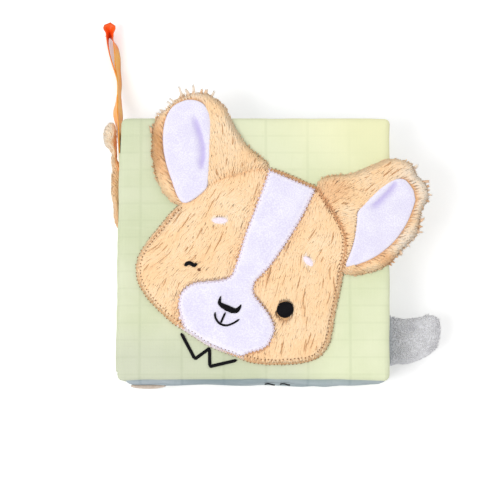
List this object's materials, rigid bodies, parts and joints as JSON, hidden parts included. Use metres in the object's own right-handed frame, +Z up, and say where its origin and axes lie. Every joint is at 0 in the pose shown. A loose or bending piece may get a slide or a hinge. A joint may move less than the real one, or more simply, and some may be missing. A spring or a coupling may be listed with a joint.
{
  "type": "cloth book",
  "caption": "Square padded cloth baby book with soft hinged covers, a plush animal face with ears, a ribbon loop at the spine and small soft tails.",
  "frame": {"origin": "middle of the flat face of the back cover that the closed book lies on", "axes": "+Z up through the covers, +X from the spine to the fore edge, +Y towards the top edge"},
  "size_m": [0.191, 0.2117, 0.0442],
  "materials": {
    "muslin": "pale green slubby muslin with a faint woven check",
    "page_cloth": "blue-grey plain cotton, padded",
    "peach_fur": "combed peach plush with a deep pile",
    "lilac_plush": "smooth lilac-white short plush",
    "grey_plush": "short grey pile",
    "beige_plush": "short beige pile",
    "dark_thread": "black embroidery thread",
    "pale_thread": "pale pink embroidery thread",
    "satin_ribbon": "glossy orange satin ribbon"
  },
  "bodies": {
    "block": {"pages": "page_cloth", "spine": "muslin", "ribbon_loop": "satin_ribbon", "fur_tail": "peach_fur", "grey_tail": "grey_plush", "page_flap": "beige_plush", "page_trim": "dark_thread"},
    "front": {"front_cover": "muslin", "face_fur": "peach_fur", "face_blaze": "lilac_plush", "left_ear_fur": "peach_fur", "left_ear_lining": "lilac_plush", "right_ear_fur": "peach_fur", "right_ear_lining": "lilac_plush", "nose": "dark_thread", "mouth": "dark_thread", "open_eye": "dark_thread", "winking_eye": "dark_thread", "left_brow": "pale_thread", "right_brow": "pale_thread", "chest_zigzag": "dark_thread"},
    "back": {"back_cover": "muslin"}
  },
  "joints": [
    {"name": "front_opening", "type": "hinge", "parent": "block", "child": "front", "pos_m": [-0.075, 0, 0.032], "axis": [0, -1, 0], "range_deg": [0, 180]},
    {"name": "back_opening", "type": "hinge", "parent": "block", "child": "back", "pos_m": [-0.075, 0, 0.007], "axis": [0, 1, 0], "range_deg": [0, 180]}
  ]
}
